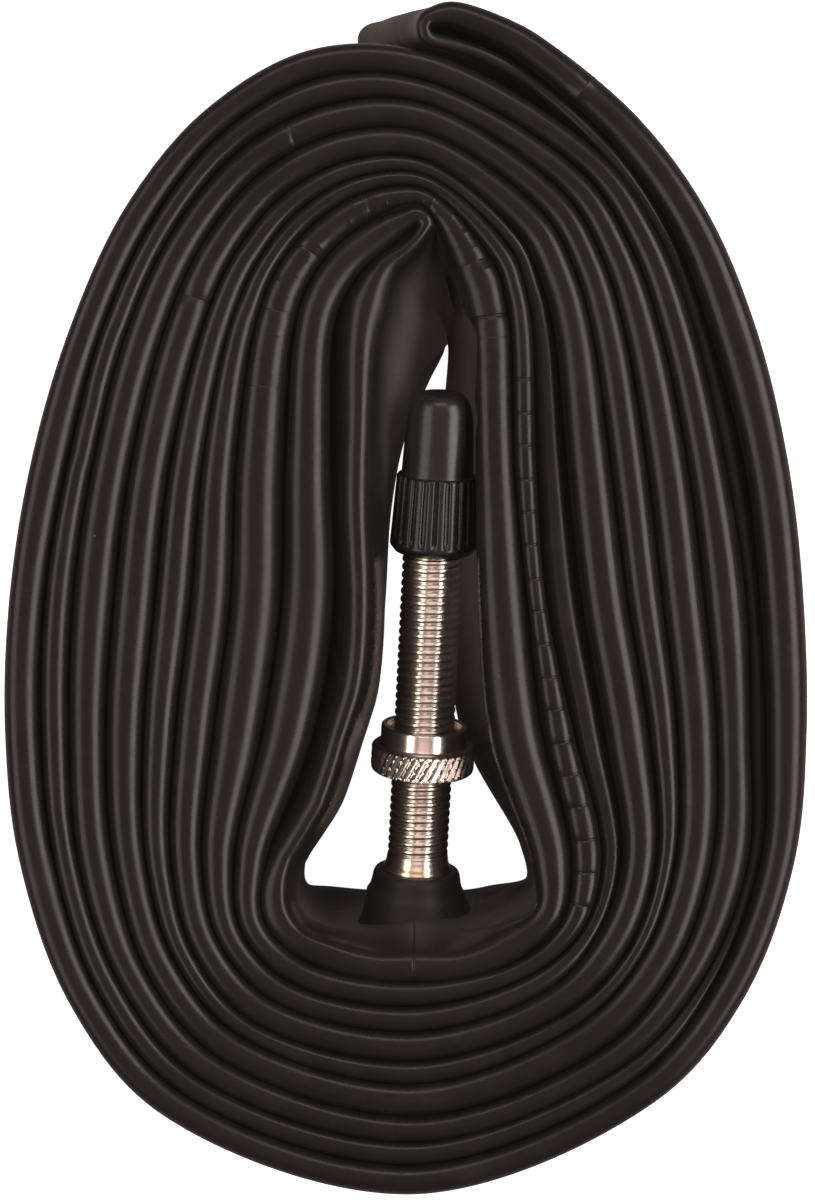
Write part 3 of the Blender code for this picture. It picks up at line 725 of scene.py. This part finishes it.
def plated(name, base, rough, tint=None, tint_below=None):
    """Bright turned metal with faint stains, tinted below a height in mm."""
    look = Look(name)
    stain = look.noise(scale=420.0, detail=4.0, rough=0.6)
    turned = look.noise(scale=(300.0, 300.0, 9000.0), detail=2.0)
    stained = tuple(0.86 * channel for channel in base)
    colour = look.ramp(stain, stops=((0.30, stained), (0.68, base)))
    if tint is not None:
        near = look.range(look.height(look.coord["Object"]),
                          span=((tint_below - 0.7) * MM, tint_below * MM), to=(1.0, 0.0))
        colour = look.mix(near, colour, tint)
    look.set("Base Color", colour)
    look.set("Metallic", 1.0)
    look.set("Roughness", look.range(stain, span=(0.3, 0.75), to=(rough + 0.07, rough - 0.03)))
    look.bump(((turned, 0.12, 0.00002), (stain, 0.05, 0.00008)))
    return look.material


def plastic(name, base, rough):
    look = Look(name)
    flow = look.noise(scale=350.0)
    fine = look.noise(scale=2600.0, rough=0.55)
    dark, light = (tuple(gain * channel for channel in base) for gain in (0.85, 1.15))
    look.set("Base Color", look.ramp(flow, stops=((0.3, dark), (0.7, light))))
    look.set("Roughness", look.range(fine, span=(0.3, 0.7), to=(rough - 0.03, rough + 0.05)))
    look.set("IOR", 1.62)
    look.bump(((flow, 0.06, 0.0002), (fine, 0.08, 0.00003)))
    return look.material


RUBBER = rubber("butyl_rubber", base=(0.0125, 0.0100, 0.0100), rough=0.27)
BOSS = rubber("boss_rubber", base=(0.0150, 0.0118, 0.0114), rough=0.26, dust_and_painted_light=0.30)
NICKEL = plated("nickel_plate", base=(0.91, 0.83, 0.76), rough=0.22,
                tint=(0.92, 0.79, 0.57), tint_below=1.5)
NUT_METAL = plated("nickel_nut", base=(0.90, 0.83, 0.77), rough=0.20)
BRASS = plated("turned_brass", base=(0.83, 0.62, 0.32), rough=0.20)
CAP_BLACK = plastic("cap_plastic", base=(0.031, 0.0255, 0.0262), rough=0.25)
GASKET = rubber("gasket_rubber", base=(0.022, 0.021, 0.021), rough=0.45, dust_and_painted_light=0.2)
SEAL = rubber("seal_rubber", base=(0.045, 0.018, 0.016), rough=0.45, dust_and_painted_light=0.2)


# ---------------------------------------------------------------- the tube
TUBE = lofted("inner_tube_skin", [ring_at(arc) for arc in ring_places()])
register(TUBE, RUBBER, body="tube", node="tube_body")


# ---------------------------------------------------------------- the valve's design
VALVE_BASE = (VALVE_X, -26.4, 15.5)
VALVE_SIDE_LEAN, VALVE_RISE = 2.9, 13.5   # degrees towards +X and upwards

# Radii, and heights along the stem from the valve's base.
STEM_R, STEM_TOP, STEM_BORE = 2.93, 34.8, 1.7
STEM_COLUMNS = 96
THREAD_PITCH, THREAD_DEPTH, THREAD_FADE = 0.8, 0.32, 0.5
THREAD_LOW, THREAD_HIGH = 1.70, STEM_TOP - 0.35
ROWS_PER_PITCH = 10
FOOT_R, FOOT_LOW, FOOT_HIGH = 4.4, -4.1, -3.3
NECK_R = 3.0
BOSS_COLUMNS = 72
NUT_LOW, NUT_STEP, NUT_TOP = 10.2, 12.9, 14.8
NUT_FLANGE_R, NUT_COLLAR_R, NUT_BORE = 5.0, 4.15, 3.02
NUT_TEETH = 36
NUT_COLUMNS = 9 * NUT_TEETH
CAP_LOW, CAP_STEP = 32.0, 39.6
CAP_R, CAP_STEP_R = 4.20, 3.86            # of the fluted part, at its low and high end
CAP_FLUTES = 22
CAP_COLUMNS = 12 * CAP_FLUTES

# The cap's widest reach along the stem while it comes off: (height, radius).
CAP_PATH = ((CAP_LOW, CAP_R), (CAP_STEP + 7.3, CAP_R), (CAP_STEP + 7.4, 3.45), (50.4, 3.28),
            (51.7, 3.18), (52.6, 3.07), (53.3, 2.92), (53.9, 2.68), (54.3, 2.38),
            (54.7, 1.60), (54.9, 0.0))


def placed(origin, x_axis, z_axis):
    """Matrix of a frame with its origin and two of its axes given."""
    axes = Matrix((x_axis, z_axis.cross(x_axis), z_axis))
    return Matrix.Translation(origin) @ axes.transposed().to_4x4()


def valve_matrix():
    rise, side = math.radians(VALVE_RISE), math.radians(VALVE_SIDE_LEAN)
    along = Vector((math.cos(rise) * math.sin(side), math.cos(rise) * math.cos(side),
                    math.sin(rise)))
    across = along.cross(Vector((0.0, 0.0, 1.0)))
    across.normalize()
    base = Vector((VALVE_BASE[0] + ORIGIN_SHIFT[0], VALVE_BASE[1] + ORIGIN_SHIFT[1],
                   VALVE_BASE[2])) * MM
    return placed(base, across, along)


VALVE = valve_matrix()


def clear_cap(mesh):
    """Press the tube's flank back where the cap passes it on its way off."""
    clearance, soft = 0.28, 0.35
    to_valve = VALVE.inverted()
    heights, reaches = zip(*CAP_PATH)
    for vertex in mesh.vertices:
        point = to_valve @ vertex.co
        height, radius = point.z / MM, math.hypot(point.x, point.y) / MM
        if not heights[0] < height < heights[-1] or not 0.5 <= radius <= 5.0:
            continue
        depth = float(np.interp(height, heights, reaches)) + clearance - radius
        if depth > -soft:
            push = depth if depth > soft else (depth + soft) ** 2 / (4.0 * soft)
            scale = (radius + push) / radius
            vertex.co = VALVE @ Vector((point.x * scale, point.y * scale, point.z))
    mesh.update()


clear_cap(TUBE.data)
TUBE_SURFACE = BVHTree.FromObject(TUBE, bpy.context.evaluated_depsgraph_get())


def shaped_ring(radius_at, height, count):
    """Ring in the valve's frame, in metres, its radius a function of the angle."""
    ring = []
    for k in range(count):
        angle = 2.0 * math.pi * k / count
        radius = radius_at(angle)
        ring.append((radius * MM * math.cos(angle), radius * MM * math.sin(angle), height * MM))
    return ring


def circles(profile, count):
    """Round rings from (radius, height) rows."""
    return [shaped_ring(lambda angle: radius, height, count) for radius, height in profile]


def on_valve(name, rings, material, body, node, sharp, closed=True):
    obj = lofted(name, rings, closed, sharp)
    obj.matrix_world = VALVE
    register(obj, material, body, node)
    return obj


# ---------------------------------------------------------------- boss of the patch
BOSS_NECK = ((NECK_R + 0.1, -1.2), (3.24, 0.08), (3.48, 0.20), (3.82, 0.20), (4.07, 0.06),
             (4.22, -0.25), (4.31, -0.75), (4.40, -1.25), (4.55, -1.70), (4.80, -2.08))
BOSS_FOOT = ((FOOT_R + 0.12, -4.35),)
SKIRT_STEPS = 12


def boss_rings():
    """The moulded boss: neck about the stem, skirt running out onto the tube."""
    def in_place(profile):
        return [[VALVE @ Vector(point) for point in ring]
                for ring in circles(profile, BOSS_COLUMNS)]

    foot = VALVE @ Vector((0.0, 0.0, -4.6 * MM))
    rings = in_place(BOSS_NECK)
    neck_end = rings[-1]
    for j in range(1, SKIRT_STEPS + 1):
        out = j / SKIRT_STEPS
        ring = []
        for k, start in enumerate(neck_end):
            angle = 2.0 * math.pi * k / BOSS_COLUMNS
            wide = (5.55 + 0.2 * math.cos(2 * angle)) * MM
            tall = 5.3 * MM
            x = start.x + (foot.x + wide * math.cos(angle) - start.x) * out
            z = start.z + (foot.z - tall * math.sin(angle) - start.z) * out
            hit = TUBE_SURFACE.ray_cast(Vector((x, foot.y + 0.0035, max(0.0015, z))),
                                        Vector((0, -1, 0)), 0.012)[0]
            if hit is None:
                hit = Vector((x, foot.y, z))
            lift = (start.y - hit.y) * (1.0 - out) ** 2.2 - 0.00012 * out
            ring.append(Vector((x, hit.y + lift, z)))
        rings.append(ring)
    sunk_edge = [point + Vector((0.0, -0.0006, 0.0)) for point in rings[-1]]
    return rings + [sunk_edge] + in_place(BOSS_FOOT)


register(lofted("valve_boss", boss_rings()), BOSS,
         body="tube", node="valve_patch")


# ---------------------------------------------------------------- threaded stem
# (radius, height) rows, down the outside and up the bore.
STEM_OUTER = ((STEM_R - 0.42, STEM_TOP), (STEM_R - 0.30, STEM_TOP - 0.06),
              (STEM_R - 0.02, STEM_TOP - 0.42), (STEM_R, STEM_TOP - 0.5), (STEM_R, 1.75),
              (2.97, 1.62), (2.99, 1.40), (3.02, 1.15), (3.08, 0.92), (3.17, 0.74),
              (3.26, 0.60), (3.31, 0.46), (3.33, 0.32), (3.33, 0.16), (3.30, 0.02),
              (3.20, -0.08), (NECK_R, -0.15), (NECK_R, FOOT_HIGH), (FOOT_R, FOOT_HIGH),
              (FOOT_R, FOOT_LOW))
STEM_INNER = ((STEM_BORE, FOOT_LOW), (STEM_BORE, 25.2), (2.0, 25.9), (2.0, 28.9),
              (2.50, 29.3), (2.50, STEM_TOP - 0.15), (2.58, STEM_TOP - 0.02))


def stem_rings():
    """The turned stem, its shank cut by a helical thread."""
    rows = []
    for (radius, high), (_, low) in zip(STEM_OUTER, STEM_OUTER[1:]):
        rows.append((radius, high))
        if low >= THREAD_LOW and high - low > THREAD_PITCH:
            n = int(round((high - low) / (THREAD_PITCH / ROWS_PER_PITCH)))
            rows += [(radius, high + (low - high) * k / n) for k in range(1, n)]
    rows.append(STEM_OUTER[-1])
    rings = []
    for radius, height in rows:
        near = (smooth((height - THREAD_LOW) / THREAD_FADE)
                * smooth((THREAD_HIGH - height) / THREAD_FADE))

        def radius_at(angle):
            phase = (height / THREAD_PITCH - angle / (2.0 * math.pi)) % 1.0
            return radius - THREAD_DEPTH * abs(2.0 * phase - 1.0) ** 2.6 * near

        rings.append(shaped_ring(radius_at, height, STEM_COLUMNS))
    return rings + circles(STEM_INNER, STEM_COLUMNS)


STEM = on_valve("stem_threaded", stem_rings(), NICKEL, body="tube",
                node="valve_stem", sharp=42.0)


# ---------------------------------------------------------------- rim nut
# Bore and collar top: radius, height, corner radius.
NUT_CORNERS = ((NUT_BORE + 0.02, NUT_LOW, 0.08), (3.05, NUT_TOP - 1.3, 0.08),
               (3.62, NUT_TOP - 1.15, 0.08), (3.68, NUT_TOP, 0.12),
               (NUT_COLLAR_R, NUT_TOP, 0.22))
# From the collar out to the knurled flange: (radius, height).
NUT_SHOULDER = ((NUT_COLLAR_R, NUT_STEP + 0.30), (NUT_COLLAR_R + 0.05, NUT_STEP + 0.12),
                (NUT_COLLAR_R + 0.18, NUT_STEP + 0.03), (NUT_COLLAR_R + 0.45, NUT_STEP - 0.02),
                (NUT_FLANGE_R - 0.30, NUT_STEP - 0.04))
KNURL_ROWS = 30


def rounded(corners, end, steps=3):
    """Rounds the corners of an outline that starts and ends at one square point."""
    chain = [end, *corners, end]
    points = []
    for before, corner, after in zip(chain, corners, chain[2:]):
        to_before = math.dist(corner[:2], before[:2])
        to_after = math.dist(corner[:2], after[:2])
        cut = min(corner[2], 0.45 * to_before, 0.45 * to_after)
        first = [corner[j] + (before[j] - corner[j]) * cut / to_before for j in range(2)]
        last = [corner[j] + (after[j] - corner[j]) * cut / to_after for j in range(2)]
        for k in range(steps + 1):
            u = k / steps
            points.append([(1 - u) ** 2 * first[j] + 2 * u * (1 - u) * corner[j]
                           + u * u * last[j] for j in range(2)])
    return points


def nut_rings():
    """The nut: bore, plain collar, flange with a crossed knurl."""
    rings = circles(rounded(NUT_CORNERS, end=(NUT_COLLAR_R, NUT_STEP)), NUT_COLUMNS)
    rings += circles(NUT_SHOULDER, NUT_COLUMNS)
    top, low = NUT_STEP - 0.06, NUT_LOW + 0.02
    slope = NUT_TEETH / (2.0 * math.pi * NUT_FLANGE_R) * math.tan(math.radians(27.0))
    for j in range(KNURL_ROWS + 1):
        height = top + (low - top) * j / KNURL_ROWS
        edge = min(top - height, height - low)
        shoulder = max(0.0, 0.34 - edge) ** 2 * 2.4

        def radius_at(angle):
            tooth = NUT_TEETH * angle / (2.0 * math.pi)
            main = abs(2.0 * ((tooth - slope * height) % 1.0) - 1.0)
            cross = abs(2.0 * ((tooth + slope * height + 0.23) % 1.0) - 1.0)
            main = min(1.0, max(0.0, (main - 0.10) / 0.85)) ** 1.3
            cross = 0.42 * max(0.0, (cross - 0.55) / 0.45)
            return NUT_FLANGE_R - max(0.30 * max(main, cross) * smooth(edge / 0.25), shoulder)

        rings.append(shaped_ring(radius_at, height, NUT_COLUMNS))
    return rings + circles(((NUT_FLANGE_R - 0.45, NUT_LOW),), NUT_COLUMNS)


NUT = on_valve("rim_nut_knurled", nut_rings(), NUT_METAL, body="rim_nut",
               node="rim_nut", sharp=38.0)


# ---------------------------------------------------------------- dust cap
# (radius, height) rows: down the bore and round the rim, then over the tip.
CAP_BORE_AND_RIM = (
    (1.2, 46.3), (2.25, 45.8), (2.35, 42.4), (2.75, 42.0), (2.75, 35.8), (3.15, 35.4),
    (3.25, CAP_LOW + 0.15), (3.32, CAP_LOW), (3.62, CAP_LOW), (3.70, CAP_LOW + 0.04),
    (4.10, CAP_LOW + 0.52), (4.17, CAP_LOW + 0.62), (CAP_R, CAP_LOW + 0.74),
    (CAP_R, CAP_LOW + 0.95))
CAP_TIP = (
    (3.74, CAP_STEP - 0.14), (3.62, CAP_STEP - 0.06), (3.46, CAP_STEP - 0.03),
    (3.42, CAP_STEP + 0.06), (3.41, CAP_STEP + 0.25), (3.34, 41.6), (3.26, 43.2),
    (3.17, 44.5), (3.06, 45.4), (2.90, 46.1), (2.67, 46.66), (2.38, 47.04), (2.06, 47.27),
    (1.80, 47.36), (1.62, 47.39), (1.52, 47.37), (1.40, 47.43), (1.1, 47.49), (0.6, 47.52),
    (0.15, 47.53))
FLUTE_ROWS = 22


def cap_rings():
    rings = circles(CAP_BORE_AND_RIM, CAP_COLUMNS)
    low, high = CAP_LOW + 1.0, CAP_STEP - 0.28
    for j in range(FLUTE_ROWS + 1):
        up = j / FLUTE_ROWS
        height = low + (high - low) * up
        base = CAP_R + (CAP_STEP_R - CAP_R) * up

        def radius_at(angle):
            flute = (CAP_FLUTES * angle / (2.0 * math.pi)) % 1.0
            away = abs(2.0 * flute - 1.0)
            groove = smooth((0.42 - away) / 0.26)
            crown = 0.05 * (1.0 - ((away - 1.0) / 0.58) ** 2) if away > 0.42 else 0.0
            return base - 0.06 + crown - 0.30 * groove * smooth((height - low) / 0.45)

        rings.append(shaped_ring(radius_at, height, CAP_COLUMNS))
    return rings + circles(CAP_TIP, CAP_COLUMNS)


on_valve("dust_cap_fluted", cap_rings(), CAP_BLACK, body="cap",
         node="dust_cap", sharp=40.0, closed=False)


# ---------------------------------------------------------------- valve core
for node_name, core_material in (("core_body", BRASS), ("core_pin", BRASS), ("core_nut", BRASS),
                                 ("core_gasket", GASKET), ("core_seal", SEAL)):
    give(NODES[node_name], core_material)


# ---------------------------------------------------------------- studio, in metres
# Each light: name, place, size, radiance, colour.
SOFTBOXES = (
    ("softbox_left", (-0.52, 0.02, 0.52), (0.38, 0.84), 1.36, (1.0, 0.95, 0.93)),
    ("softbox_right", (0.56, 0.02, 0.52), (0.38, 0.84), 3.0, (1.0, 0.95, 0.93)),
    ("softbox_top", (0.02, 0.50, 0.60), (0.50, 0.16), 2.2, (1.0, 0.96, 0.94)),
)
# Reflectors that light only the plated metal: a warm one overhead and one each side.
METAL_PANELS = (
    ("metal_over", (0.02, 0.0, 0.95), (0.52, 0.60), 0.95, (1.0, 0.72, 0.64)),
    ("metal_left", (-0.56, 0.0, 0.70), (0.34, 0.90), 3.0, (1.0, 0.90, 0.76)),
    ("metal_right", (0.58, 0.0, 0.68), (0.34, 0.90), 2.7, (1.0, 0.96, 0.93)),
)


def area_light(name, at, size, radiance, colour, aim):
    data = bpy.data.lights.new(name, "AREA")
    data.shape = "RECTANGLE"
    data.size, data.size_y = size
    data.energy = radiance * math.pi * size[0] * size[1]
    data.color = colour
    obj = link(name, data)
    back = -(Vector(aim) - Vector(at)).normalized()
    obj.matrix_world = placed(at, Vector((0.0, 1.0, 0.0)).cross(back).normalized(), back)
    return obj


def add_lights():
    for row in SOFTBOXES:
        area_light(*row, aim=(0.0, 0.0, 0.02))
    metal = bpy.data.collections.new("plated_metal")
    for piece in (STEM, NUT):
        metal.objects.link(piece)
    for row in METAL_PANELS:
        panel = area_light(*row, aim=(0.0, 0.0, 0.0))
        panel.light_linking.receiver_collection = metal


def pale_floor():
    """Paper that glows: it looks clean white between the layers too."""
    look = Look("pale_floor")
    paper = look.ramp(look.noise(scale=3.0),
                      stops=((0.3, (0.90, 0.90, 0.89)), (0.7, (0.93, 0.93, 0.92))))
    seen = look.camera_ray()
    look.set("Roughness", 0.6)
    look.set("Base Color", look.mix(seen, (0.52, 0.44, 0.40), paper))
    look.set("Emission Color", look.mix(seen, (0.06, 0.050, 0.046), (1.0, 1.0, 1.0)))
    look.set("Emission Strength", 1.0)
    return look.material


def add_floor():
    mesh = bpy.data.meshes.new("studio_floor")
    bm = bmesh.new()
    bmesh.ops.create_grid(bm, x_segments=8, y_segments=8, size=4.0)
    bm.to_mesh(mesh)
    bm.free()
    floor = link("studio_floor", mesh)
    floor.location = (0.0, 0.0, -0.0002)
    give(floor, pale_floor())


def add_world():
    """A dim room with a lighter, warmer ceiling; the camera sees it near white."""
    world = bpy.data.worlds.new("studio")
    bpy.context.scene.world = world
    world.use_nodes = True
    graph = Graph(world.node_tree)
    room = graph.ramp(graph.height(graph.coord["Generated"]),
                      stops=((0.0, (0.13, 0.105, 0.10)), (0.82, (0.140, 0.112, 0.106)),
                             (1.0, (0.26, 0.200, 0.185))))
    background = graph.nodes["Background"].inputs
    graph.feed(background["Color"], graph.mix(graph.camera_ray(), room, (0.95, 0.95, 0.94)))
    background["Strength"].default_value = 1.0


def add_camera():
    """Straight above the roll, looking down."""
    data = bpy.data.cameras.new("camera")
    data.sensor_width = 36.0
    data.lens = 102.72
    data.clip_start = 0.01
    data.clip_end = 20.0
    camera = link("camera", data)
    camera.location = (ORIGIN_SHIFT[0] * MM, ORIGIN_SHIFT[1] * MM, 0.350)
    bpy.context.scene.camera = camera


add_lights()
add_floor()
add_world()
add_camera()
bpy.context.scene.view_settings.view_transform = "Standard"
bpy.context.scene.view_settings.look = "None"
